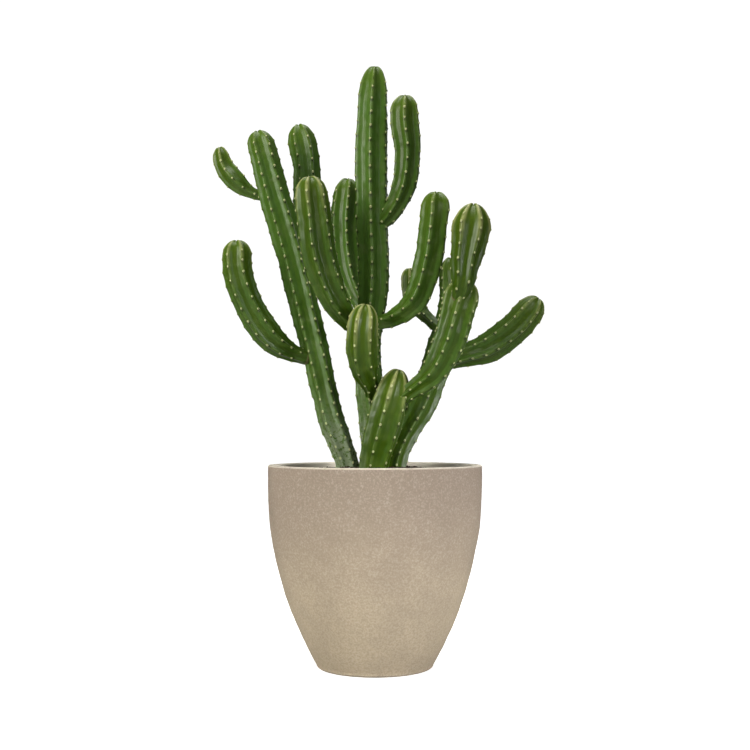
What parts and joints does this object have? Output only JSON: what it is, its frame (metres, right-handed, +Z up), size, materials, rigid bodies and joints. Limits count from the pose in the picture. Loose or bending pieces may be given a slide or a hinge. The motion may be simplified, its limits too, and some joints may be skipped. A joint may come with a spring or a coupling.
{
  "type": "potted tall cactus",
  "caption": "Tall branching column cactus with ribbed upright stems and upturned side arms, growing from soil in a round tapered planter.",
  "frame": {"origin": "centre of the planter's flat base, on the surface it stands on", "axes": "+Z up along the planter's turned axis and the tallest stem, +X to the right and -Y towards the front as displayed"},
  "size_m": [0.6804, 0.425, 1.2015],
  "materials": {
    "fibre_clay": "matte",
    "potting_mix": "matte",
    "stem_skin": "satin",
    "arm_skin": "satin",
    "spines": "matte"
  },
  "bodies": {
    "root": {"pot": "fibre_clay", "soil": "potting_mix", "centre_stem": "stem_skin", "left_stem": "stem_skin", "right_stem": "stem_skin", "front_stem": "stem_skin", "far_left_arm": "arm_skin", "low_left_arm": "arm_skin", "back_left_arm": "arm_skin", "front_left_arm": "arm_skin", "back_arm": "arm_skin", "upper_right_arm": "arm_skin", "right_arm": "arm_skin", "front_arm": "arm_skin", "elbow_arm": "arm_skin", "upper_elbow_arm": "arm_skin", "small_back_arm": "arm_skin", "far_right_arm": "arm_skin"}
  },
  "joints": []
}
